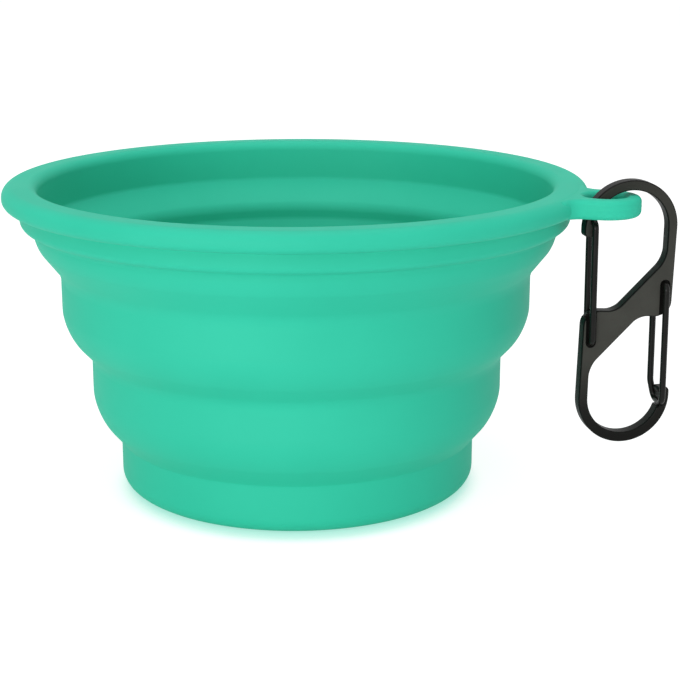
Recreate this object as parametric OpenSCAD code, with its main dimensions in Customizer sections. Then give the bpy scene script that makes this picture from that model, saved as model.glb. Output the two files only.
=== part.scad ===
// Collapsible silicone travel bowl with a snap clip hanging from its eyelet.
// The origin is on the bowl's axis at the underside of the base, +Z is up and the eyelet is on +X.

/* [Bowl widths] */
// Outside diameter of the rim bead
rim_d = 130; // [105:0.5:170]
// Width of the rim bead's overhang beyond the collar
bead_overhang_w = 3.9; // [3:0.1:5]
// Width of the step from the collar in to the hinge line under it
collar_step_w = 2.4; // [1.6:0.1:3.4]
// Wall at the hinge line under the collar
hinge_wall = 1.4; // [1:0.1:1.8]
// Width of the fold between the collar and the upper ring
upper_fold_w = 5.8; // [4.8:0.1:7]
// Width of the fold between the upper and the lower ring
middle_fold_w = 6.15; // [5:0.05:7.4]
// Width of the fold between the lower ring and the base
lower_fold_w = 6.05; // [5:0.05:7.4]

/* [Bowl heights] */
// Height of the base wall
base_h = 10.7; // [8:0.1:16]
// Height of the lower ring and the fold below it
lower_step_h = 19.8; // [18:0.1:26]
// Height of the upper ring and the fold below it
upper_step_h = 19.5; // [18:0.1:26]
// Height of the fold between the upper ring and the collar
upper_fold_h = 10.8; // [9:0.1:14]
// Height of the collar
collar_h = 4.3; // [3.5:0.1:8]
// Height of the rim bead
bead_h = 4.7; // [4.5:0.1:8]
// Height of the thick band of each ring
ring_band_h = 10.8; // [9:0.1:12]
// Height of the straight part at the top of each ring
ring_straight_h = 6.5; // [4:0.1:8]

/* [Silicone wall] */
// Wall of the rings and the base
ring_wall = 2.4; // [2:0.1:2.8]
// Wall of the two lower folds
fold_wall = 1.8; // [1.2:0.1:2.2]
// Thickness of the floor
floor_t = 2.5; // [1.5:0.1:5]
// Drop from the outer to the inner hinge line under the collar
hinge_drop = 0.5; // [0.3:0.1:1]
// Height of the inner ledge above the upper ring's top
ledge_h = 4.4; // [3:0.1:6]
// Rounding of the base's lower edge
foot_fillet = 3.4; // [1:0.1:6]
// Rounding of the corner between floor and wall
floor_fillet = 2; // [1:0.1:4]
// Rounding of the bead's upper outer edge
bead_top_fillet = 2.5; // [1.5:0.1:2.6]
// Rounding of the bead's lower outer edge
bead_low_fillet = 1.4; // [0.5:0.1:1.5]
// Rise of the bead's underside from the collar outwards
bead_rise = 0.5; // [0.1:0.1:0.6]
// Rounding of the mouth's edge
mouth_fillet = 2.2; // [1:0.1:2.5]

/* [Eyelet] */
// Clearance of the clip's bar in the eyelet's hole
bar_clearance = 0.35; // [0.25:0.05:1]
// Width of the band round the hole
eyelet_band = 3.2; // [2.6:0.1:3.8]
// Thickness of the eyelet
eyelet_t = 4.3; // [3.4:0.1:5.2]
// Drop of the eyelet's top below the rim's top
eyelet_drop = 0.1; // [0.1:0.1:0.3]
// Gap between the rim bead and the near edge of the hole
eyelet_stand_off = 0.2; // [0.1:0.1:1.5]
// Rounding of the eyelet's edges
eyelet_fillet = 1.2; // [0.8:0.1:1.3]
// Rounding where the eyelet's sides meet the rim
eyelet_root_fillet = 2; // [1:0.1:3]

/* [Clip] */
// Overall height of the clip
clip_h = 57.7; // [54:0.1:62]
// Inside radius of the clip's two loops
loop_inner_r = 8.2; // [8:0.1:9]
// Width of the clip's bar
bar_w = 2.2; // [2:0.05:2.6]
// Thickness of the clip's bar
bar_t = 3.2; // [2.6:0.1:3.2]
// Sideways shift of each loop from the clip's centre
loop_shift = 0.1; // [0:0.1:1]
// Length of the nose below the loop's end
nose_l = 1.2; // [1.2:0.1:2]
// Turn of the clip's plane away from the eyelet's own direction, in degrees
clip_turn = 29.4; // [20:0.1:40]
// Gap between the eyelet's band and the loop that hangs on it
hang_gap = 0.95; // [0.5:0.05:0.95]
// Sideways offset of the hanging loop towards the bowl
hang_side = 0.25; // [0:0.05:0.4]

/* [Gates] */
// Diameter of the gate wire
wire_d = 1.4; // [1.1:0.1:1.6]
// Clearance between the gate's legs and the faces of the bar
leg_clearance = 0.2; // [0.1:0.05:0.6]
// Inward offset of the lower gate's rear leg, where the upper gate's is straight
rear_leg_offset = 0.95; // [0.6:0.05:2]
// Distance of each gate pivot from the frame's outer edge
pivot_margin = 1.65; // [1.5:0.05:3]
// Radial clearance of a wire end in its hole
pin_clearance = 0.05; // [0.03:0.01:0.1]

/* [Hidden] */

$fn = 96;
curve_steps = 10;
loop_steps = 32;
overrun = 1;
silicone = [0.24, 0.78, 0.65];
black = [0.13, 0.13, 0.12];

// Share of the chord's slope by which a fold turns away from the vertical
ring_turn_share = 1.7;
upper_turn_share = 1.35;

// Radii of the bowl, from the rim inwards
rim_r = rim_d / 2;
collar_r = rim_r - bead_overhang_w;
collar_neck_r = collar_r - collar_step_w;
mouth_r = collar_neck_r - hinge_wall;
upper_ring_r = collar_neck_r - upper_fold_w;
lower_ring_r = upper_ring_r - middle_fold_w;
base_r = lower_ring_r - lower_fold_w;

// Heights of the neck lines and the rim above the table
lower_neck_z = base_h;
middle_neck_z = lower_neck_z + lower_step_h;
upper_neck_z = middle_neck_z + upper_step_h;
collar_neck_z = upper_neck_z + upper_fold_h;
bead_z = collar_neck_z + collar_h;
rim_z = bead_z + bead_h;
hinge_z = collar_neck_z - hinge_drop;

// Bead roundings, limited by the bead's height
bead_side_h = bead_h - bead_rise;
bead_top_share = 0.62;
bead_low_share = 0.36;
bead_top_r = min(bead_top_fillet, bead_side_h * bead_top_share);
bead_low_r = min(bead_low_fillet, bead_side_h * bead_low_share);

// Clip, in its own plane: u across, v along, both from its centre
loop_outer_r = loop_inner_r + bar_w;
loop_v = clip_h / 2 - loop_outer_r;
hang_v = loop_v + loop_inner_r - hang_gap - eyelet_t / 2;

// Eyelet: its hole is as wide as the clip's bar needs where it passes through
band_fillet_share = 0.44;
band_fillet = min(eyelet_fillet, min(eyelet_band, eyelet_t) * band_fillet_share);
bar_out = sqrt(pow(loop_outer_r, 2) - pow(hang_v - loop_v - eyelet_t / 2 + band_fillet, 2))
          + hang_side - eyelet_band / 2;
hole_r = (pow(bar_out, 2) + pow(bar_t / 2, 2) - pow(bar_clearance, 2)) / (2 * (bar_out - bar_clearance));
eyelet_x = rim_r + eyelet_stand_off + hole_r;
eyelet_top_z = rim_z - eyelet_drop;
eyelet_mid_z = eyelet_top_z - eyelet_t / 2;
band_mid_r = hole_r + eyelet_band / 2;
eyelet_root_x = (collar_r + eyelet_x - hole_r) / 2 - eyelet_band / 2;
hang_point = [eyelet_x + band_mid_r * cos(clip_turn), band_mid_r * sin(clip_turn), eyelet_mid_z];

// Nose, shoulder, spine and middle web of the clip
nose_end_v = loop_v - nose_l;
nose_mid_u = loop_shift - (loop_inner_r + loop_outer_r) / 2;
shoulder_in_share = 0.35;
shoulder_drop_share = 0.5;
shoulder_u = loop_shift + loop_outer_r - bar_w * shoulder_in_share;
shoulder_v = -bar_w * shoulder_drop_share;
shoulder_fillet_share = 1.5;
shoulder_fillet = bar_w * shoulder_fillet_share;
web_half_u = 2.6;
web_drop_share = 0.32;
web_point = [web_half_u, -bar_w * web_drop_share];
web_fillet = 4;
web_corner_share = 0.623;
web_corner_v = loop_v * web_corner_share;
spine_lean_share = 0.08;
spine_inner_u = loop_shift + loop_inner_r - bar_w * spine_lean_share;
spine_fillet = 5.5;

// Gates: the pivot of the upper gate and the middle of its crossbar
wire_r = wire_d / 2;
leg_n = bar_t / 2 + leg_clearance + wire_r;
pivot_share = 0.5265;
pivot_along = web_corner_v * pivot_share;
pivot = [pivot_margin - shoulder_u, -pivot_along];
latch_depth = 0.5;
latch_clearance = 0.15;
latch_r = wire_r + latch_clearance;
latch_rise_share = 0.232;
latch_rise = loop_inner_r * latch_rise_share;
latch = [loop_shift - sqrt(pow(loop_inner_r, 2) - pow(latch_rise, 2)) - latch_depth, loop_v + latch_rise];
gate_l = norm(latch - pivot);
gate_lean = atan2(latch[0] - pivot[0], latch[1] - pivot[1]);
rear_bend_share = 0.16;
pin_gap = 0.4;
groove_clearance = 0.45;
groove_w = wire_d + 2 * groove_clearance;
groove_depth = 0.6;

// Points of an arc about c, from one angle to another
function arc(c, r, from, to, steps) =
    [for (i = [0:steps]) c + r * [cos(from + (to - from) * i / steps), sin(from + (to - from) * i / steps)]];

// Points of a corner at p, between its neighbours a and b, rounded to radius r
function corner(a, p, b, r, steps) =
    let (da = (a - p) / norm(a - p),
         db = (b - p) / norm(b - p),
         half = acos(da * db) / 2,
         c = p + (da + db) / norm(da + db) * r / sin(half),
         start = p + da * r / tan(half) - c,
         turn = sign(start[1] * da[0] - start[0] * da[1]) * (180 - 2 * half),
         from = atan2(start[1], start[0]))
    arc(c, r, from, from + turn, steps);

// Points turned half way round the clip's centre
function half_turned(points) = [for (p = points) -p];

// Slope of a fold's flat part from the vertical
function fold_slope(dr, dz, turn_share) = atan2(dr, dz) * turn_share;

// Radius of the arc that leads from the vertical into a fold's slope
function fold_radius(dr, dz, slope) = (dz * sin(slope) - dr * cos(slope)) / (1 - cos(slope));

// Outline of a ring's thick band: straight above, then the start of the arc
module ring_profile(r, top_z, next_r, next_z) {
    arc_z = top_z - ring_straight_h;
    band_z = top_z - ring_band_h;
    slope = fold_slope(r - next_r, arc_z - next_z, ring_turn_share);
    bend = fold_radius(r - next_r, arc_z - next_z, slope);
    polygon(concat(
        [[r - ring_wall, top_z], [r, top_z]],
        arc([r - bend, arc_z], bend, 0, -asin((arc_z - band_z) / bend), curve_steps),
        [[r - ring_wall, band_z]]));
}

// Outline of a thin fold: the rest of the arc, then a flat slope down to the next ring
module fold_profile(r, top_z, next_r, next_z) {
    arc_z = top_z - ring_straight_h;
    band_z = top_z - ring_band_h;
    slope = fold_slope(r - next_r, arc_z - next_z, ring_turn_share);
    bend = fold_radius(r - next_r, arc_z - next_z, slope);
    inner_bend = bend - fold_wall;
    polygon(concat(
        arc([r - bend, arc_z], bend, -asin((arc_z - band_z) / bend), -slope, curve_steps),
        [[next_r, next_z], [next_r - fold_wall / cos(slope), next_z]],
        arc([r - bend, arc_z], inner_bend, -slope, -asin((arc_z - band_z) / inner_bend), curve_steps)));
}

// Slope and arc of the fold under the collar
upper_slope = fold_slope(collar_neck_r - upper_ring_r, upper_fold_h, upper_turn_share);
upper_bend = fold_radius(collar_neck_r - upper_ring_r, upper_fold_h, upper_slope);
hinge_angle = asin(hinge_drop / upper_bend);

// Outline of the rim: bead, collar and the hinge line that they end in
module rim_profile() {
    collar_fillet = min(collar_r - collar_neck_r, collar_h);
    polygon(concat(
        [[mouth_r, hinge_z]],
        arc([mouth_r + mouth_fillet, rim_z - mouth_fillet], mouth_fillet, 180, 90, curve_steps),
        arc([rim_r - bead_top_r, rim_z - bead_top_r], bead_top_r, 90, 0, curve_steps),
        arc([rim_r - bead_low_r, bead_z + bead_rise + bead_low_r], bead_low_r, 0, -90, curve_steps),
        [[collar_r, bead_z]],
        arc([collar_r - collar_fillet, collar_neck_z + collar_fillet], collar_fillet, 0, -90, curve_steps),
        arc([collar_neck_r - upper_bend, collar_neck_z], upper_bend, 0, -hinge_angle, 1)));
}

// Section of the eyelet's band, rounded on all four edges
module eyelet_section() {
    inner_w = eyelet_band - 2 * band_fillet;
    inner_t = eyelet_t - 2 * band_fillet;
    square([inner_w, eyelet_t], center = true);
    square([eyelet_band, inner_t], center = true);
    for (x = [-1, 1], y = [-1, 1])
        translate([x * inner_w / 2, y * inner_t / 2])
            circle(band_fillet);
}

// Ring round the hole, with two arms that run into the rim
module eyelet() {
    translate([eyelet_x, 0, eyelet_mid_z])
        rotate_extrude()
            translate([band_mid_r, 0])
                eyelet_section();
    for (side = [-1, 1])
        translate([eyelet_root_x, side * band_mid_r, eyelet_mid_z])
            rotate([90, 0, 90])
                linear_extrude(eyelet_x - eyelet_root_x)
                    eyelet_section();
}

// Rounded corner between one side of the eyelet and the rim
module eyelet_root() {
    side_y = hole_r + eyelet_band - band_fillet;
    fillet_y = side_y + band_fillet + eyelet_root_fillet;
    fillet_x = sqrt(pow(rim_r + eyelet_root_fillet, 2) - pow(fillet_y, 2));
    root_t = eyelet_t - 2 * band_fillet;
    translate([0, 0, eyelet_mid_z - root_t / 2])
        linear_extrude(root_t)
            difference() {
                polygon([[eyelet_root_x, side_y], [fillet_x, side_y], [fillet_x, fillet_y],
                         [fillet_x * rim_r / (rim_r + eyelet_root_fillet),
                          fillet_y * rim_r / (rim_r + eyelet_root_fillet)], [eyelet_root_x, fillet_y]]);
                translate([fillet_x, fillet_y])
                    circle(eyelet_root_fillet);
            }
}

module rim() {
    color(silicone) {
        rotate_extrude()
            rim_profile();
        eyelet();
        eyelet_root();
        mirror([0, 1, 0])
            eyelet_root();
    }
}

module upper_fold() {
    inner_r = upper_ring_r - ring_wall;
    color(silicone)
        rotate_extrude()
            polygon(concat(
                arc([collar_neck_r - upper_bend, collar_neck_z], upper_bend,
                    -hinge_angle, -upper_slope, curve_steps),
                [[upper_ring_r, upper_neck_z], [inner_r, upper_neck_z],
                 [inner_r, upper_neck_z + ledge_h], [mouth_r, hinge_z]]));
}

module upper_ring() {
    color(silicone)
        rotate_extrude()
            ring_profile(upper_ring_r, upper_neck_z, lower_ring_r, middle_neck_z);
}

module middle_fold() {
    color(silicone)
        rotate_extrude()
            fold_profile(upper_ring_r, upper_neck_z, lower_ring_r, middle_neck_z);
}

module lower_ring() {
    color(silicone)
        rotate_extrude()
            ring_profile(lower_ring_r, middle_neck_z, base_r, lower_neck_z);
}

module lower_fold() {
    color(silicone)
        rotate_extrude()
            fold_profile(lower_ring_r, middle_neck_z, base_r, lower_neck_z);
}

module base() {
    inner_r = base_r - ring_wall;
    color(silicone)
        rotate_extrude()
            polygon(concat(
                [[0, 0]],
                arc([base_r - foot_fillet, foot_fillet], foot_fillet, -90, 0, curve_steps),
                [[base_r, base_h], [inner_r, base_h]],
                arc([inner_r - floor_fillet, floor_t + floor_fillet], floor_fillet, 0, -90, curve_steps),
                [[0, floor_t]]));
}

// Puts a shape drawn in the clip's plane where the clip hangs
module hung() {
    translate(hang_point)
        rotate([90, 0, clip_turn])
            translate([-loop_shift - hang_side, -hang_v, 0])
                children();
}

// Outer edge of one half of the clip, from its nose over the loop to the middle web
function outer_edge() =
    let (top = [loop_shift + loop_outer_r, loop_v],
         shoulder = [shoulder_u, shoulder_v],
         spine = -inner_corner())
    concat(
        arc([nose_mid_u, nose_end_v + bar_w / 2], bar_w / 2, 0, -180, curve_steps),
        arc([loop_shift, loop_v], loop_outer_r, 180, 0, loop_steps),
        corner(top, shoulder, web_point, shoulder_fillet, curve_steps),
        corner(shoulder, web_point, spine, web_fillet, curve_steps));

// Corner between the middle web and the spine, inside a loop
function inner_corner() = [spine_inner_u, web_corner_v];

// Inner edge of one half of the clip, from the middle web to the nose
function inner_edge() =
    concat(
        corner(-web_point, inner_corner(), [loop_shift + loop_inner_r, loop_v], spine_fillet, curve_steps),
        arc([loop_shift, loop_v], loop_inner_r, 0, 180, loop_steps));

// Groove, hole and latch that one gate needs in the frame
module gate_seat() {
    for (side = [-1, 1])
        translate([pivot[0], pivot[1], side * bar_t / 2])
            rotate(-gate_lean) {
                cylinder(h = 2 * groove_depth, d = groove_w, center = true);
                translate([-groove_w / 2, 0, -groove_depth])
                    cube([groove_w, pivot_along - shoulder_v + overrun, 2 * groove_depth]);
            }
    translate([pivot[0], pivot[1], 0])
        cylinder(h = bar_t + 2 * overrun, r = wire_r + pin_clearance, center = true);
    translate([latch[0], latch[1], 0]) {
        cylinder(h = bar_t + 2 * overrun, r = latch_r, center = true);
        translate([0, -latch_r, -bar_t / 2 - overrun])
            cube([bar_w, 2 * latch_r, bar_t + 2 * overrun]);
    }
}

module clip_frame() {
    color(black)
        hung()
            difference() {
                linear_extrude(bar_t, center = true)
                    polygon(concat(outer_edge(), half_turned(inner_edge()),
                                   half_turned(outer_edge()), inner_edge()));
                gate_seat();
                rotate(180)
                    gate_seat();
            }
}

// Straight run of wire from a to b, with its ends carried past the bends there
module wire(a, b, past_a, past_b) {
    d = b - a;
    translate(a)
        rotate([0, acos(d[2] / norm(d)), atan2(d[1], d[0])])
            translate([0, 0, -past_a])
                cylinder(h = norm(d) + past_a + past_b, r = wire_r);
}

// Bends of a rear leg that is set inwards
function rear_bends() =
    [[rear_leg_offset, gate_l * (1 - rear_bend_share), -leg_n], [rear_leg_offset, gate_l * rear_bend_share, -leg_n]];

// One bent wire: pin, front leg, crossbar, rear leg and the second pin
module gate(bends) {
    path = concat([[0, 0, pin_gap / 2], [0, 0, leg_n], [0, gate_l, leg_n], [0, gate_l, -leg_n]],
                  bends, [[0, 0, -leg_n], [0, 0, -pin_gap / 2]]);
    last = len(path) - 1;
    translate([pivot[0], pivot[1], 0])
        rotate(-gate_lean)
            for (i = [1:last])
                wire(path[i - 1], path[i], i == 1 ? 0 : wire_r, i == last ? 0 : wire_r);
}

module upper_gate() {
    color(black)
        hung()
            gate([]);
}

module lower_gate() {
    color(black)
        hung()
            rotate(180)
                gate(rear_bends());
}

rim();
upper_fold();
upper_ring();
middle_fold();
lower_ring();
lower_fold();
base();
clip_frame();
upper_gate();
lower_gate();
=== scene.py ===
from math import atan2, cos, pi, radians, sin, tan

import bmesh
import bpy
from bmesh.types import BMEdge, BMVert
from mathutils import Matrix, Vector


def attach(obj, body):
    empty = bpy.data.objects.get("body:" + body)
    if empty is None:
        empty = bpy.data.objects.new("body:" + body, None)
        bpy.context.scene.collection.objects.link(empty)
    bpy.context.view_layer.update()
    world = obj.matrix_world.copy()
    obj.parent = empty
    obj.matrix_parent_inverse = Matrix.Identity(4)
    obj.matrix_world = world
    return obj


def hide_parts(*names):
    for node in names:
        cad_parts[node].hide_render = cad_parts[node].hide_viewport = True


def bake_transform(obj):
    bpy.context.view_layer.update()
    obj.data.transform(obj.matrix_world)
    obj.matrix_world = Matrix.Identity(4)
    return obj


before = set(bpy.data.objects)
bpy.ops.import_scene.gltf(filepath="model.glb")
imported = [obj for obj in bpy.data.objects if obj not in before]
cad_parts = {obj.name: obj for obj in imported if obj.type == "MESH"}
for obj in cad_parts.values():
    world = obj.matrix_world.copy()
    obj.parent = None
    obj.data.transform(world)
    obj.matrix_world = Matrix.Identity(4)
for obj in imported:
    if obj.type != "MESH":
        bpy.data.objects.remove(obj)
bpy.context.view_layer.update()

mm = 0.001
mergeGap = 1e-6  # metres; vertices closer than this become one
white = (1, 1, 1, 1)
scene = bpy.context.scene
scene.view_settings.view_transform = "Standard"

# camera
photoCamera = {
    "lens": 84.706,  # mm on a 36 mm sensor
    "place": (0.12656, -0.33317, 0.1270),
    "turn": (75.06, 0, 19.21),  # degrees
    "sees": (0.01, 20),  # nearest and furthest, in metres
}


def placeCamera(s):
    data = bpy.data.cameras.new("photoCamera")
    data.lens = s["lens"]
    data.clip_start, data.clip_end = s["sees"]
    camera = bpy.data.objects.new("photoCamera", data)
    camera.location = s["place"]
    camera.rotation_euler = [radians(a) for a in s["turn"]]
    scene.collection.objects.link(camera)
    scene.camera = camera


placeCamera(photoCamera)
print("camera placed")

# node helpers
mixA, mixB, mixed = 6, 7, 2  # a Mix node's two colour inputs and its colour output


def addNode(tree, kind, inputs=None, **settings):
    made = tree.nodes.new(kind)
    for name, value in settings.items():
        setattr(made, name, value)
    for name, value in (inputs or {}).items():
        made.inputs[name].default_value = value
    return made


def startGroup(name, inputs, outputs):
    tree = bpy.data.node_groups.new(name, "ShaderNodeTree")
    for label, kind, value in inputs:
        socket = tree.interface.new_socket(label, in_out="INPUT", socket_type=kind)
        if value is not None:
            socket.default_value = value
    for label, kind in outputs:
        tree.interface.new_socket(label, in_out="OUTPUT", socket_type=kind)
    return tree, tree.nodes.new("NodeGroupInput"), tree.nodes.new("NodeGroupOutput")


def useGroup(tree, group, vector, **values):
    made = addNode(tree, "ShaderNodeGroup", node_tree=group)
    tree.links.new(vector, made.inputs["Vector"])
    for name, value in values.items():
        made.inputs[name].default_value = value
    return made


# fine surface grain: a height for bump, and a roughness that wanders with it
def grainGroup():
    tree, start, end = startGroup(
        "surfaceGrain",
        [("Vector", "NodeSocketVector", None), ("Scale", "NodeSocketFloat", 4000.0),
         ("Patch Scale", "NodeSocketFloat", 60.0), ("Rough Low", "NodeSocketFloat", 0.4),
         ("Rough High", "NodeSocketFloat", 0.6)],
        [("Height", "NodeSocketFloat"), ("Roughness", "NodeSocketFloat")])
    link = tree.links.new
    fine = addNode(tree, "ShaderNodeTexNoise", {"Detail": 3.0, "Roughness": 0.6})
    patch = addNode(tree, "ShaderNodeTexNoise", {"Detail": 4.0, "Roughness": 0.55})
    both = addNode(tree, "ShaderNodeMix", {"Factor": 0.35}, data_type="FLOAT")
    rough = addNode(tree, "ShaderNodeMapRange", {"From Min": 0.3, "From Max": 0.7})
    for tex, scale in ((fine, "Scale"), (patch, "Patch Scale")):
        link(start.outputs["Vector"], tex.inputs["Vector"])
        link(start.outputs[scale], tex.inputs["Scale"])
    link(patch.outputs["Fac"], both.inputs["A"])
    link(fine.outputs["Fac"], both.inputs["B"])
    link(both.outputs["Result"], rough.inputs["Value"])
    link(start.outputs["Rough Low"], rough.inputs["To Min"])
    link(start.outputs["Rough High"], rough.inputs["To Max"])
    link(fine.outputs["Fac"], end.inputs["Height"])
    link(rough.outputs["Result"], end.inputs["Roughness"])
    return tree


# slow drift of a colour between two tones
def driftGroup():
    tree, start, end = startGroup(
        "toneDrift",
        [("Vector", "NodeSocketVector", None), ("Scale", "NodeSocketFloat", 25.0),
         ("Low", "NodeSocketColor", (0.2, 0.2, 0.2, 1)), ("High", "NodeSocketColor", (0.3, 0.3, 0.3, 1))],
        [("Color", "NodeSocketColor")])
    link = tree.links.new
    cloud = addNode(tree, "ShaderNodeTexNoise", {"Detail": 5.0, "Roughness": 0.5})
    spread = addNode(tree, "ShaderNodeMapRange", {"From Min": 0.3, "From Max": 0.7})
    blend = addNode(tree, "ShaderNodeMix", data_type="RGBA")
    link(start.outputs["Vector"], cloud.inputs["Vector"])
    link(start.outputs["Scale"], cloud.inputs["Scale"])
    link(cloud.outputs["Fac"], spread.inputs["Value"])
    link(spread.outputs["Result"], blend.inputs["Factor"])
    link(start.outputs["Low"], blend.inputs[mixA])
    link(start.outputs["High"], blend.inputs[mixB])
    link(blend.outputs[mixed], end.inputs["Color"])
    return tree


surfaceGrain, toneDrift = grainGroup(), driftGroup()

siliconeLook = {
    "low": (0.025, 0.535, 0.354, 1), "high": (0.029, 0.565, 0.376, 1), "drift": 30.0,
    "grain": 5200.0, "patch": 45.0, "rough": (0.60, 0.68), "bump": 0.05, "bumpReach": 0.00002,
    "specular": 0.25,
}
coatingLook = {
    "low": (0.046, 0.046, 0.040, 1), "high": (0.056, 0.056, 0.049, 1), "drift": 160.0,  # the flat faces: painted sheen, a grey that stands in for reflected light
    "edge": (0.0035, 0.0035, 0.003, 1),
    "grain": 3600.0, "patch": 220.0, "rough": (0.38, 0.50), "bump": 0.08, "bumpReach": 0.00002,
    "specular": 0.09,
    "flatStart": 0.92, "flatFull": 0.995,  # shares of the half thickness
    # how grey the painted sheen on the flat faces is from the clip's lower end to its upper one, a painted
    # light falloff
    "span": (0.0152, 0.0729), "paintedFalloff": ((0.0, 0.0), (0.13, 0.1), (0.33, 0.9), (0.5, 1.0), (1.0, 0.6)),
}
wireLook = {
    "low": (0.004, 0.004, 0.0035, 1), "high": (0.007, 0.007, 0.006, 1), "drift": 300.0,
    "grain": 4200.0, "patch": 260.0, "rough": (0.24, 0.34), "bump": 0.06, "bumpReach": 0.00002,
    "specular": 0.15,
}


def startMaterial(name, s):
    # grain, roughness and the drifting tone, which is left to link
    material = bpy.data.materials.new(name)
    material.use_nodes = True
    tree = material.node_tree
    tree.nodes.clear()
    out = tree.nodes.new("ShaderNodeOutputMaterial")
    shader = addNode(tree, "ShaderNodeBsdfPrincipled", {"Specular IOR Level": s["specular"]})
    place = tree.nodes.new("ShaderNodeTexCoord").outputs["Object"]
    roughLow, roughHigh = s["rough"]
    grain = useGroup(tree, surfaceGrain, place, Scale=s["grain"],
                     **{"Patch Scale": s["patch"], "Rough Low": roughLow, "Rough High": roughHigh})
    bump = addNode(tree, "ShaderNodeBump", {"Strength": s["bump"], "Distance": s["bumpReach"]})
    tone = useGroup(tree, toneDrift, place, Scale=s["drift"], Low=s["low"], High=s["high"])
    tree.links.new(grain.outputs["Height"], bump.inputs["Height"])
    tree.links.new(grain.outputs["Roughness"], shader.inputs["Roughness"])
    tree.links.new(bump.outputs["Normal"], shader.inputs["Normal"])
    tree.links.new(shader.outputs["BSDF"], out.inputs["Surface"])
    return material, tone.outputs["Color"], shader.inputs["Base Color"], place


def tonedMaterial(name, s):
    material, tone, color = startMaterial(name, s)[:3]
    material.node_tree.links.new(tone, color)
    return material


def coatingMaterial(s, flat, middle, half):
    # painted sheen: the outer flats are painted grey as if they reflect light, the grooves and the rounded
    # edges stay black
    material, tone, color, place = startMaterial("satinBlackCoating", s)
    tree = material.node_tree
    link = tree.links.new
    depth = addNode(tree, "ShaderNodeVectorMath", operation="DOT_PRODUCT")
    depth.inputs[1].default_value = flat
    fromMiddle = addNode(tree, "ShaderNodeMath", operation="SUBTRACT")
    fromMiddle.inputs[1].default_value = middle
    size = addNode(tree, "ShaderNodeMath", operation="ABSOLUTE")
    # painted sheen mask: 1 on the flat faces, 0 in the grooves and on the rounded edges
    paintedSheenMask = addNode(tree, "ShaderNodeMapRange", interpolation_type="SMOOTHSTEP",
                   inputs={"From Min": half * s["flatStart"], "From Max": half * s["flatFull"]})
    apart = tree.nodes.new("ShaderNodeSeparateXYZ")
    # painted light falloff: the sheen is darkest at the clip's lower end, strongest half way up, and a little
    # less at the top
    rise = addNode(tree, "ShaderNodeMapRange", {"From Min": s["span"][0], "From Max": s["span"][1]})
    paintedFalloff = addNode(tree, "ShaderNodeValToRGB")
    steps = paintedFalloff.color_ramp.elements
    for i, (at, grey) in enumerate(s["paintedFalloff"]):
        step = steps[i] if i < 2 else steps.new(at)  # a ramp starts with two
        step.position, step.color = at, (grey, grey, grey, 1)
    share = addNode(tree, "ShaderNodeMath", operation="MULTIPLY")
    mix = addNode(tree, "ShaderNodeMix", data_type="RGBA")
    mix.inputs[mixA].default_value = s["edge"]
    link(place, depth.inputs[0])
    link(depth.outputs["Value"], fromMiddle.inputs[0])
    link(fromMiddle.outputs["Value"], size.inputs[0])
    link(size.outputs["Value"], paintedSheenMask.inputs["Value"])
    link(place, apart.inputs["Vector"])
    link(apart.outputs["Z"], rise.inputs["Value"])
    link(rise.outputs["Result"], paintedFalloff.inputs["Fac"])
    link(paintedSheenMask.outputs["Result"], share.inputs[0])
    link(paintedFalloff.outputs["Color"], share.inputs[1])
    link(share.outputs["Value"], mix.inputs["Factor"])
    link(tone, mix.inputs[mixB])
    link(mix.outputs[mixed], color)
    return material


# mesh helpers
def makeObject(name, bm, *materials):
    mesh = bpy.data.meshes.new(name)
    bm.to_mesh(mesh)
    bm.free()
    mesh.shade_smooth()
    for material in materials:
        mesh.materials.append(material)
    made = bpy.data.objects.new(name, mesh)
    scene.collection.objects.link(made)
    return made


def only(geom, kind):
    return [g for g in geom if isinstance(g, kind)]


def drawOutline(bm, corners, closed=True):
    # a corner is (place in mm, length that its rounding takes off both edges, segments)
    verts = [bm.verts.new(Vector(place) * mm) for place, rounding, cuts in corners]
    for pair in zip(verts, verts[1:] + verts[:1] if closed else verts[1:]):
        bm.edges.new(pair)
    for vert, (_, rounding, cuts) in zip(verts, corners):
        if rounding:
            bmesh.ops.bevel(bm, geom=[vert], offset=rounding * mm, offset_type="OFFSET", segments=cuts,
                            profile=0.5, affect="VERTICES", material=-1, clamp_overlap=False)
    bmesh.ops.remove_doubles(bm, verts=bm.verts, dist=mergeGap)


def cutLongEdges(bm, longest):
    for edge in bm.edges[:]:
        cuts = int(edge.calc_length() / (longest * mm))
        if cuts:
            bmesh.ops.subdivide_edges(bm, edges=[edge], cuts=cuts)


def tidyNormals(bm):
    bmesh.ops.remove_doubles(bm, verts=bm.verts, dist=mergeGap)
    bmesh.ops.recalc_face_normals(bm, faces=bm.faces)


def spinRound(bm, steps):
    bmesh.ops.rotate(bm, verts=bm.verts, cent=(0, 0, 0), matrix=Matrix.Rotation(pi / steps, 3, "Z"))
    bmesh.ops.spin(bm, geom=bm.verts[:] + bm.edges[:], cent=(0, 0, 0), axis=(0, 0, 1), dvec=(0, 0, 0),
                   angle=2 * pi, steps=steps, use_merge=True, use_duplicate=False)
    tidyNormals(bm)


def sharpenEdges(bm, angle):
    for edge in bm.edges:
        edge.smooth = edge.calc_face_angle(0) < radians(angle)


def thicken(bm, low, high):
    # fills a flat outline in XY and gives it height
    base = bmesh.ops.contextual_create(bm, geom=bm.edges[:])["faces"]
    bmesh.ops.translate(bm, verts=bm.verts, vec=(0, 0, low * mm))
    grown = bmesh.ops.extrude_face_region(bm, geom=base)["geom"]
    bmesh.ops.translate(bm, verts=only(grown, BMVert), vec=(0, 0, (high - low) * mm))
    tidyNormals(bm)


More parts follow.
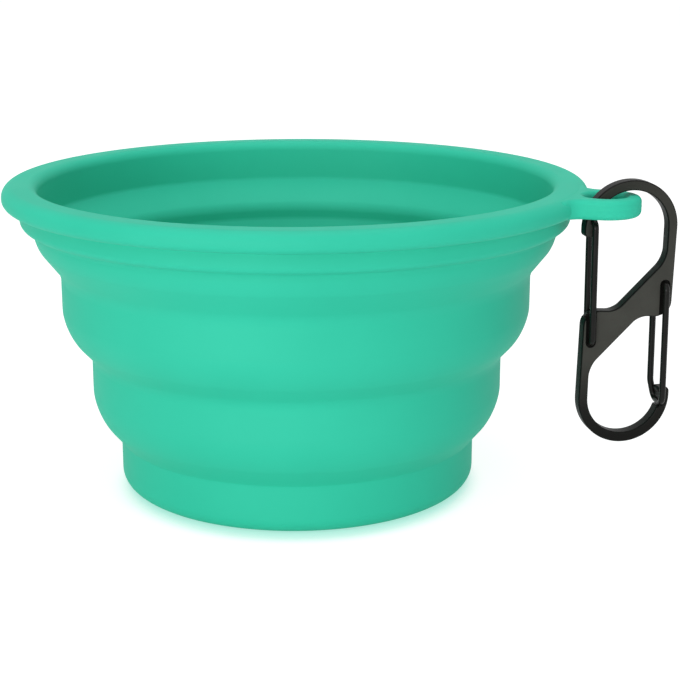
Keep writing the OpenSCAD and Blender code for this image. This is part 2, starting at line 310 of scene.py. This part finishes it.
def roundRims(bm, width, cuts, level=0.9):
    # rounds every edge between a level face and the side walls
    rims = [e for e in bm.edges if len(e.link_faces) == 2
            and sorted(abs(f.normal.z) > level for f in e.link_faces) == [False, True]]
    bmesh.ops.bevel(bm, geom=rims, offset=width * mm, offset_type="OFFSET", segments=cuts, profile=0.5,
                    affect="EDGES", material=-1, clamp_overlap=False)


def cutAway(made, cutter):
    # takes the cutter out of the piece, for good
    trim = made.modifiers.new("trim", "BOOLEAN")
    trim.operation, trim.solver, trim.object = "DIFFERENCE", "EXACT", cutter
    graph = bpy.context.evaluated_depsgraph_get()
    mesh = bpy.data.meshes.new_from_object(made.evaluated_get(graph))
    made.modifiers.clear()
    old, name = made.data, made.data.name
    made.data = mesh
    bpy.data.meshes.remove(old)
    mesh.name = name
    bpy.data.objects.remove(cutter)


def weighNormals(made):
    weigh = made.modifiers.new("evenShading", "WEIGHTED_NORMAL")
    weigh.keep_sharp = True


silicone = tonedMaterial("seaGreenSilicone", siliconeLook)
print("silicone mixed")

# the silicone wall: three skins, parted on the straight bands of the rings where no line shows
bowl = {
    # outside radii, but mouth is inside
    "rim": 65.0, "collar": 61.3, "collarNeck": 58.45, "mouth": 57.3,
    "upperRing": 52.9, "lowerRing": 46.75, "base": 40.7,
    # heights
    "top": 69.8, "beadFoot": 65.1, "beadRise": 0.5, "collarFoot": 60.7, "hinge": 60.3, "ledge": 54.4,
    "upperNeck": 50.0, "middleNeck": 30.8, "lowerNeck": 11.0, "straight": 8.2,
    "upperSeam": 48.4, "lowerSeam": 27.0,
    "seamDip": 0.4,  # keeps the ends of two skins apart
    "rib": 1.5, "ribTop": 51.1,  # the upper ring is a little thicker inside, below the ledge
    "upperBandEnd": 39.2, "lowerBandEnd": 19.7,  # where the rings' bands end and the folds start to give
    "ringWall": 2.4, "foldWall": 1.8, "floor": 2.5,
    "ledgeTaper": 0.25, "wallTaper": 0.15,  # keep a fold's faces apart when it is turned inside out
    "upperTurn": 1.25, "ringTurn": 1.46,  # how far a fold turns past its own chord
    "innerShare": 0.8,  # of the rounding outside a ring, for the one inside
    # roundings
    "mouthEdge": 2.2, "beadEdge": 2.5, "beadLowEdge": 1.4, "beadCrease": 0.35,
    "collarEdge": 1.6, "collarCrease": 1.2, "hingeCrease": 0.5, "ledgeEdge": 1.6, "ribCrease": 0.5,
    "upperCrease": 1.5, "middleCrease": 1.4, "lowerCrease": 0.35, "innerCrease": 0.8,
    "foot": 3.4, "floorEdge": 2.0,
    "steps": 180, "row": 1.4, "sharp": 40,  # steps round the axis, longest edge in a profile, degrees
}


def foldLine(r, z, nextR, nextZ, turn):
    # slope from the vertical, and the length that the rounding above it takes off both edges
    slope = atan2(r - nextR, z - nextZ) * turn
    bend = ((z - nextZ) * sin(slope) - (r - nextR) * cos(slope)) / (1 - cos(slope))
    return slope, bend * tan(slope / 2)


def innerMeet(r, nextR, nextZ, slope, wall):
    # height at which a fold's inner face meets the inner wall at radius r
    return nextZ + (r - nextR + wall / cos(slope)) / tan(slope)


def foldCorners(r, top, nextR, nextZ, crease, cuts, s):
    # a ring's curve and the fold below it: corners outside going down, and inside going up
    inner, nextInner = r - s["ringWall"], nextR - s["ringWall"] - s["wallTaper"]
    arcTop = top - s["straight"]
    slope, bend = foldLine(r, arcTop, nextR, nextZ, s["ringTurn"])
    outside = [(r, arcTop - bend, bend, 16), (nextR, nextZ, crease, cuts)]
    inside = [
        (nextInner, innerMeet(nextInner, nextR, nextZ, slope, s["foldWall"]), s["innerCrease"], 4),
        (inner, innerMeet(inner, nextR, nextZ, slope, s["foldWall"]), bend * s["innerShare"], 12)]
    return outside, inside


def makeSkin(name, profile, closed, s):
    # a profile's corner is radius, height, rounding, segments
    bm = bmesh.new()
    drawOutline(bm, [((r, 0, z), rounding, cuts) for r, z, rounding, cuts in profile], closed)
    cutLongEdges(bm, s["row"])
    spinRound(bm, s["steps"])
    sharpenEdges(bm, s["sharp"])
    made = makeObject(name, bm, silicone)
    weighNormals(made)
    return made


def rimSkin(s):
    inner = s["upperRing"] - s["ringWall"]
    arcTop = s["collarFoot"] - s["collarCrease"]
    bend = foldLine(s["collarNeck"], arcTop, s["upperRing"], s["upperNeck"], s["upperTurn"])[1]
    profile = [
        (inner + s["ringWall"] / 2, s["upperSeam"] - s["seamDip"], 0, 1),
        (inner - s["rib"], s["upperSeam"], 0, 1),
        (inner, s["ribTop"], s["ribCrease"], 4),
        (inner - s["ledgeTaper"], s["ledge"], s["ledgeEdge"], 6),
        (s["mouth"], s["hinge"], s["hingeCrease"], 4),
        (s["mouth"], s["top"], s["mouthEdge"], 10),
        (s["rim"], s["top"], s["beadEdge"], 12),
        (s["rim"], s["beadFoot"] + s["beadRise"], s["beadLowEdge"], 8),
        (s["collar"], s["beadFoot"], s["beadCrease"], 3),
        (s["collar"], s["collarFoot"], s["collarEdge"], 10),
        (s["collarNeck"], s["collarFoot"], s["collarCrease"], 5),
        (s["collarNeck"], arcTop - bend, bend, 14),
        (s["upperRing"], s["upperNeck"], s["upperCrease"], 6),
        (s["upperRing"], s["upperSeam"], 0, 1)]
    made = makeSkin("bowl_rim_skin", profile, True, s)
    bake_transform(made)
    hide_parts("rim", "upper_fold")


def ringSkin(s):
    inner, nextInner = s["upperRing"] - s["ringWall"], s["lowerRing"] - s["ringWall"]
    outside, inside = foldCorners(s["upperRing"], s["upperNeck"], s["lowerRing"], s["middleNeck"],
                                  s["middleCrease"], 5, s)
    profile = [
        (inner - s["rib"], s["upperSeam"], 0, 1),
        (s["upperRing"], s["upperSeam"], 0, 1),
        *outside,
        (s["lowerRing"], s["lowerSeam"], 0, 1),
        (nextInner, s["lowerSeam"], 0, 1),
        *inside]
    made = makeSkin("bowl_upper_skin", profile, True, s)
    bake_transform(made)
    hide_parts("upper_ring", "middle_fold")


def baseSkin(s):
    inner, nextInner = s["lowerRing"] - s["ringWall"], s["base"] - s["ringWall"]
    outside, inside = foldCorners(s["lowerRing"], s["middleNeck"], s["base"], s["lowerNeck"],
                                  s["lowerCrease"], 4, s)
    profile = [
        (0, s["floor"], 0, 1),
        (nextInner, s["floor"], s["floorEdge"], 8),
        *inside,
        (inner, s["lowerSeam"], 0, 1),
        (s["lowerRing"], s["lowerSeam"], 0, 1),
        *outside,
        (s["base"], 0, s["foot"], 10),
        (0, 0, 0, 1)]
    made = makeSkin("bowl_lower_skin", profile, False, s)
    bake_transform(made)
    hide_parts("lower_ring", "lower_fold", "base")


rimSkin(bowl)
ringSkin(bowl)
baseSkin(bowl)
print("bowl wall turned")

# the eyelet, its root sunk into the rim bead
eyelet = {
    "centre": 69.631, "hole": 4.431, "band": 3.2, "low": 65.4, "high": 69.7, "edge": 1.2, "edgeCuts": 6,
    "root": (61.0, 12.2), "shoulder": 63.2, "corner": 64.6, "rootFillet": 2.6,
    "ridge": 0.05, "ridgeWidth": 0.22,  # parting line of the mould, half way up the side
    "sideLeast": 1.5, "middleBand": 0.1,  # tell the side's upright edges and the middle row from the rest
    "holeSteps": 64, "holeCuts": 8, "flarePast": 0.02, "cutterPast": 1.0,
}


def holeCutter(s):
    bm = bmesh.new()
    low, high = s["low"] - s["flarePast"], s["high"] + s["flarePast"]
    bottom, top = low - s["cutterPast"], high + s["cutterPast"]
    wide = s["hole"] + s["edge"]
    drawOutline(bm, [((0, 0, bottom), 0, 1), ((wide, 0, bottom), 0, 1), ((wide, 0, low), 0, 1),
                     ((s["hole"], 0, low), s["edge"], s["holeCuts"]),
                     ((s["hole"], 0, high), s["edge"], s["holeCuts"]),
                     ((wide, 0, high), 0, 1), ((wide, 0, top), 0, 1), ((0, 0, top), 0, 1)], False)
    spinRound(bm, s["holeSteps"])
    bmesh.ops.translate(bm, verts=bm.verts, vec=(s["centre"] * mm, 0, 0))
    return makeObject("holeCutter", bm)


def makeEyelet(s):
    bm = bmesh.new()
    wide = s["hole"] + s["band"]
    tip = s["centre"] + wide
    rootX, rootY = s["root"]
    half = [((rootX, -rootY, 0), 0, 1), ((s["shoulder"], -rootY, 0), 0, 1),
            ((s["corner"], -wide, 0), s["rootFillet"], 8), ((tip, -wide, 0), wide, 24)]
    drawOutline(bm, half + [((x, -y, z), r, n) for (x, y, z), r, n in reversed(half)])
    thicken(bm, s["low"], s["high"])
    roundRims(bm, s["edge"], s["edgeCuts"])
    # the parting line: three rows half way up the side, the middle one a hair proud
    sides = [e for e in bm.edges if abs(e.verts[0].co.z - e.verts[1].co.z) > s["sideLeast"] * mm]
    cut = bmesh.ops.subdivide_edges(bm, edges=sides, cuts=3)["geom_inner"]
    middle = (s["low"] + s["high"]) / 2 * mm
    bm.normal_update()
    for vert in only(cut, BMVert):
        away = vert.co.z - middle
        if abs(away) < s["middleBand"] * mm:
            vert.co += vert.normal * s["ridge"] * mm
        else:
            vert.co.z = middle + s["ridgeWidth"] * mm * (1 if away > 0 else -1)
    made = makeObject("bowl_eyelet", bm, silicone)
    cutAway(made, holeCutter(s))
    weighNormals(made)
    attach(made, "rim")


makeEyelet(eyelet)
print("eyelet made")

# the snap clip hangs in the eyelet, in a plane of its own: u across, v along, n through
clip = {
    "centre": (74.58112, 2.78902, 44.0), "turn": 29.4,  # mm, degrees
    "height": 57.7, "inner": 8.2, "bar": 2.2, "thick": 3.2, "shift": 0.1, "nose": 1.55,
    "shoulder": (9.73, -1.1), "web": (2.6, -0.704), "corner": (8.124, 11.49435),
    "fillets": {"shoulder": 3.3, "web": 4.0, "corner": 5.5}, "noseEdge": 0.9,
    "lip": 0.42, "lipHigh": 0.96, "lipEnd": 1.3, "lipRounds": (0.36, 0.5),  # small hook inside each nose
    "edge": 0.45, "edgeCuts": 4,
}
gate = {
    "pivot": (-8.08, -6.05178), "latch": (-8.37627, 20.3524), "wire": 0.7, "leg": 2.5,
    "upperOffset": 0.35, "lowerOffset": 0.95, "rearBend": 0.16,  # the rear leg, bent near both its ends
    "pinGap": 0.2, "bend": 1.25, "topBend": 1.6, "softBend": 5.0,
    "sides": 20, "sharp": 50,  # degrees
    "bendSteps": (4, 8),  # at least, and for each radian
    "grooveWide": 2.3, "grooveDeep": 0.6, "grooveLong": 8.2, "notch": 0.85, "notchLong": 2.2,
}
clipTurn = radians(clip["turn"])
clipFlat = Vector((sin(clipTurn), -cos(clipTurn), 0))
clipMiddle = Vector(clip["centre"]) * mm
clipMatrix = Matrix.Translation(clipMiddle) @ Matrix((
    (cos(clipTurn), 0, sin(clipTurn), 0), (sin(clipTurn), 0, -cos(clipTurn), 0), (0, 1, 0, 0), (0, 0, 0, 1)))
gateReach = Vector(gate["latch"]) - Vector(gate["pivot"])
gateLean = atan2(gateReach.x, gateReach.y)
gateMatrix = Matrix.Translation(Vector((*gate["pivot"], 0)) * mm) @ Matrix.Rotation(-gateLean, 4, "Z")
noTurn, halfTurn = Matrix.Identity(4), Matrix.Rotation(pi, 4, "Z")

coating = coatingMaterial(coatingLook, clipFlat, clipFlat.dot(clipMiddle), clip["thick"] / 2 * mm)
wire = tonedMaterial("blackSpringWire", wireLook)
print("clip finishes mixed")


def filletReach(before, corner, after, radius):
    # length that a fillet of this radius takes off both edges
    a, b = Vector(before) - Vector(corner), Vector(after) - Vector(corner)
    return radius / tan(a.angle(b) / 2)


def clipOutline(s):
    outer = s["inner"] + s["bar"]
    top = s["height"] / 2
    noseEnd = top - outer - s["nose"]
    left, right = s["shift"] - outer, s["shift"] + outer
    inLeft, inRight, inTop = s["shift"] - s["inner"], s["shift"] + s["inner"], top - s["bar"]
    cornerU, cornerV = s["corner"]
    lip = inLeft + s["lip"]
    # one half, from the upper nose over the loop and down to the lower nose:
    # place, rounding or the name of a fillet, segments
    half = [((left, noseEnd), s["noseEdge"], 6), ((left, top), outer, 28), ((right, top), outer, 28),
            (s["shoulder"], "shoulder", 10), (s["web"], "web", 8), ((-cornerU, -cornerV), "corner", 10),
            ((-inRight, -inTop), s["inner"], 24), ((-inLeft, -inTop), s["inner"], 24),
            ((-inLeft, -noseEnd - s["lipEnd"]), 0, 1),
            ((-lip, -noseEnd - s["lipHigh"]), s["lipRounds"][0], 4),
            ((-lip, -noseEnd), s["lipRounds"][1], 5)]
    half += [((-u, -v), rounding, cuts) for (u, v), rounding, cuts in half]
    corners = []
    for i, (place, rounding, cuts) in enumerate(half):
        if rounding in s["fillets"]:
            after = half[(i + 1) % len(half)][0]
            rounding = filletReach(half[i - 1][0], place, after, s["fillets"][rounding])
        corners.append(((*place, 0), rounding, cuts))
    return corners


def addCopies(bm, part):
    # a part and its half-turned twin go into bm
    for turn in (noTurn, halfTurn):
        bmesh.ops.transform(part, matrix=turn, verts=part.verts)
        mesh = bpy.data.meshes.new("copy")
        part.to_mesh(mesh)
        bm.from_mesh(mesh)
        bpy.data.meshes.remove(mesh)
    part.free()


def seatCutter(s, thick):
    # the grooves that the gates' wire ends lie in, and the notch in each nose
    bm = bmesh.new()
    half, high = s["grooveWide"] / 2, s["grooveLong"]
    for side in (1, -1):
        slot = bmesh.new()
        drawOutline(slot, [((-half, -half, 0), half, 8), ((half, -half, 0), half, 8),
                           ((half, high, 0), 0, 1), ((-half, high, 0), 0, 1)])
        face = side * thick / 2
        thicken(slot, face - s["grooveDeep"], face + s["grooveDeep"])
        bmesh.ops.transform(slot, matrix=gateMatrix, verts=slot.verts)
        addCopies(bm, slot)
    notch = bmesh.new()
    r, long = s["notch"], s["notchLong"]
    drawOutline(notch, [((-r, -r, 0), r, 8), ((long, -r, 0), 0, 1), ((long, r, 0), 0, 1), ((-r, r, 0), r, 8)])
    thicken(notch, -thick, thick)
    bmesh.ops.translate(notch, verts=notch.verts, vec=Vector((*s["latch"], 0)) * mm)
    addCopies(bm, notch)
    return makeObject("seatCutter", bm)


def makeClipFrame(s, g):
    bm = bmesh.new()
    drawOutline(bm, clipOutline(s))
    thicken(bm, -s["thick"] / 2, s["thick"] / 2)
    roundRims(bm, s["edge"], s["edgeCuts"])
    made = makeObject("clip_frame_body", bm, coating)
    cutAway(made, seatCutter(g, s["thick"]))
    made.data.transform(clipMatrix)
    weighNormals(made)
    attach(made, "clip_frame")
    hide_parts("clip_frame")


def bendWire(path, bends, s):
    # a round wire that runs along the path, with each corner bent to its own radius
    bm = bmesh.new()
    points = [Vector(p) * mm for p in path]
    here, last = points[0], len(points) - 1
    way = (points[1] - here).normalized()
    ring = bmesh.ops.create_circle(bm, cap_ends=True, radius=s["wire"] * mm, segments=s["sides"])["verts"]
    facing = way.to_track_quat("Z", "Y").to_matrix().to_4x4()
    bmesh.ops.transform(bm, matrix=Matrix.Translation(here) @ facing, verts=ring)
    loop = bm.edges[:]
    leastSteps, stepsPerRadian = s["bendSteps"]
    for i in range(1, len(points)):
        nextWay = way if i == last else (points[i + 1] - points[i]).normalized()
        turn = way.angle(nextWay, 0)
        reach = 0 if i == last else bends[i - 1] * mm * tan(turn / 2)
        corner = points[i] - way * reach
        grown = bmesh.ops.extrude_edge_only(bm, edges=loop)["geom"]
        bmesh.ops.translate(bm, verts=only(grown, BMVert), vec=corner - here)
        loop = [e for e in only(grown, BMEdge) if not e.is_manifold]
        if i < last:
            axis = way.cross(nextWay).normalized()
            centre = corner + axis.cross(way) * bends[i - 1] * mm
            steps = max(leastSteps, int(turn * stepsPerRadian))
            grown = bmesh.ops.spin(bm, geom=loop, cent=centre, axis=axis, dvec=(0, 0, 0), angle=turn,
                                   steps=steps, use_merge=False, use_duplicate=False)["geom_last"]
            loop = only(grown, BMEdge)
            here = points[i] + nextWay * reach
        way = nextWay
    bmesh.ops.edgeloop_fill(bm, edges=loop)
    tidyNormals(bm)
    return bm


def makeGate(name, body, turn, offset, s):
    # front leg, crossbar and rear leg; the ends are bent into the frame as pins
    long, leg = gateReach.length, s["leg"]
    rear = [(offset, long * share, -leg) for share in (1 - s["rearBend"], s["rearBend"])]
    path = [(0, 0, s["pinGap"]), (0, 0, leg), (0, long, leg), (0, long, -leg),
            *rear, (0, 0, -leg), (0, 0, -s["pinGap"])]
    bends = [s["bend"], s["topBend"], s["topBend"], *[s["softBend"]] * len(rear), s["bend"]]
    bm = bendWire(path, bends, s)
    bmesh.ops.transform(bm, matrix=clipMatrix @ turn @ gateMatrix, verts=bm.verts)
    sharpenEdges(bm, s["sharp"])
    made = makeObject(name, bm, wire)
    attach(made, body)
    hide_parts(body)


makeClipFrame(clip, gate)
makeGate("clip_upper_wire", "upper_gate", noTurn, gate["upperOffset"], gate)
makeGate("clip_lower_wire", "lower_gate", halfTurn, gate["lowerOffset"], gate)
print("clip made")

# the studio: white floor and world, a low key and a high lamp in front, a fill at the right, a top lamp
studio = {
    "floorHalf": 4.0, "floorCells": 4, "floorLevel": -0.0001,
    "floorColor": (0.82, 0.82, 0.82, 1), "floorLift": 0.10,  # what the bowl gets from the floor
    "floorGlow": 0.85, "floorShade": (0.40, 0.40, 0.40, 1),  # what the camera sees of it
    # painted contact shadow: close to the bowl the floor's glow is darkened and takes the bowl's colour, a
    # painted bounce
    "contactReach": 0.0065, "contactRange": (0.25, 0.80), "paintedContactShadow": (0.40, 0.76, 0.66, 1),
    "contactLean": (-0.25, 0.66, 0.71),  # towards a light from behind, so the painted shadow lies in front
    "contactSamples": 8,
    "world": 0.41, "aim": (0, 0, 0.03),
    "lamps": (  # name, place, size, watts
        ("keyLamp", (-0.05, -1.10, 0.17), (0.9, 0.3), 4.6),
        ("highLamp", (-0.10, -0.85, 0.80), (0.8, 0.8), 1.8),
        ("fillLamp", (0.95, -0.50, 0.40), (0.8, 0.8), 1.4),
        ("topLamp", (-0.05, 0.10, 1.15), (0.8, 0.8), 4.2),
    ),
}


def whiteRays(tree):
    # 1 for camera, glossy and transmission rays, which see the room as white; 0 for the light it gives
    path = tree.nodes.new("ShaderNodeLightPath")
    glass = addNode(tree, "ShaderNodeMath", operation="MAXIMUM")
    either = addNode(tree, "ShaderNodeMath", operation="MAXIMUM")
    tree.links.new(path.outputs["Is Glossy Ray"], glass.inputs[0])
    tree.links.new(path.outputs["Is Transmission Ray"], glass.inputs[1])
    tree.links.new(path.outputs["Is Camera Ray"], either.inputs[0])
    tree.links.new(glass.outputs["Value"], either.inputs[1])
    return either.outputs["Value"]


def whiteWorld(s):
    world = bpy.data.worlds.new("studioWorld")
    world.use_nodes = True
    scene.world = world
    tree = world.node_tree
    tree.nodes.clear()
    out = tree.nodes.new("ShaderNodeOutputWorld")
    light = addNode(tree, "ShaderNodeBackground", {"Color": white, "Strength": s["world"]})
    seen = addNode(tree, "ShaderNodeBackground", {"Color": white, "Strength": 1.0})
    pick = tree.nodes.new("ShaderNodeMixShader")
    tree.links.new(whiteRays(tree), pick.inputs["Fac"])
    tree.links.new(light.outputs["Background"], pick.inputs[1])
    tree.links.new(seen.outputs["Background"], pick.inputs[2])
    tree.links.new(pick.outputs["Shader"], out.inputs["Surface"])


def floorMaterial(s):
    material = bpy.data.materials.new("paleFloor")
    material.use_nodes = True
    tree = material.node_tree
    tree.nodes.clear()
    link = tree.links.new
    out = tree.nodes.new("ShaderNodeOutputMaterial")
    plain = addNode(tree, "ShaderNodeBsdfDiffuse", {"Color": s["floorColor"]})
    lift = addNode(tree, "ShaderNodeEmission", {"Color": white, "Strength": s["floorLift"]})
    shade = addNode(tree, "ShaderNodeBsdfDiffuse", {"Color": s["floorShade"]})
    glow = addNode(tree, "ShaderNodeEmission", {"Strength": s["floorGlow"]})
    # painted contact shadow: ambient occlusion near the bowl turns the glow from white to the shadow tint
    near = addNode(tree, "ShaderNodeAmbientOcclusion", {"Distance": s["contactReach"]},
                   samples=s["contactSamples"])
    lean = addNode(tree, "ShaderNodeCombineXYZ", dict(zip("XYZ", s["contactLean"])))
    low, high = s["contactRange"]
    clear = addNode(tree, "ShaderNodeMapRange", {"From Min": low, "From Max": high},
                    interpolation_type="SMOOTHSTEP")
    paintedShadowTint = addNode(tree, "ShaderNodeMix", data_type="RGBA")
    paintedShadowTint.inputs[mixA].default_value, paintedShadowTint.inputs[mixB].default_value = s["paintedContactShadow"], white
    given, seen = tree.nodes.new("ShaderNodeAddShader"), tree.nodes.new("ShaderNodeAddShader")
    pick = tree.nodes.new("ShaderNodeMixShader")
    link(lean.outputs["Vector"], near.inputs["Normal"])
    link(near.outputs["AO"], clear.inputs["Value"])
    link(clear.outputs["Result"], paintedShadowTint.inputs["Factor"])
    link(paintedShadowTint.outputs[mixed], glow.inputs["Color"])
    link(plain.outputs["BSDF"], given.inputs[0])
    link(lift.outputs["Emission"], given.inputs[1])
    link(shade.outputs["BSDF"], seen.inputs[0])
    link(glow.outputs["Emission"], seen.inputs[1])
    link(whiteRays(tree), pick.inputs["Fac"])
    link(given.outputs["Shader"], pick.inputs[1])
    link(seen.outputs["Shader"], pick.inputs[2])
    link(pick.outputs["Shader"], out.inputs["Surface"])
    return material


def layFloor(s):
    bm = bmesh.new()
    bmesh.ops.create_grid(bm, x_segments=s["floorCells"], y_segments=s["floorCells"], size=s["floorHalf"])
    bmesh.ops.translate(bm, verts=bm.verts, vec=(0, 0, s["floorLevel"]))
    floor = makeObject("floor", bm, floorMaterial(s))


def hangLamps(s):
    for name, place, size, watts in s["lamps"]:
        data = bpy.data.lights.new(name, "AREA")
        data.shape, data.energy = "ELLIPSE", watts
        data.size, data.size_y = size
        lamp = bpy.data.objects.new(name, data)
        lamp.location = place
        lamp.rotation_euler = (Vector(s["aim"]) - Vector(place)).to_track_quat("-Z", "Y").to_euler()
        scene.collection.objects.link(lamp)


whiteWorld(studio)
layFloor(studio)
hangLamps(studio)
print("studio lit")
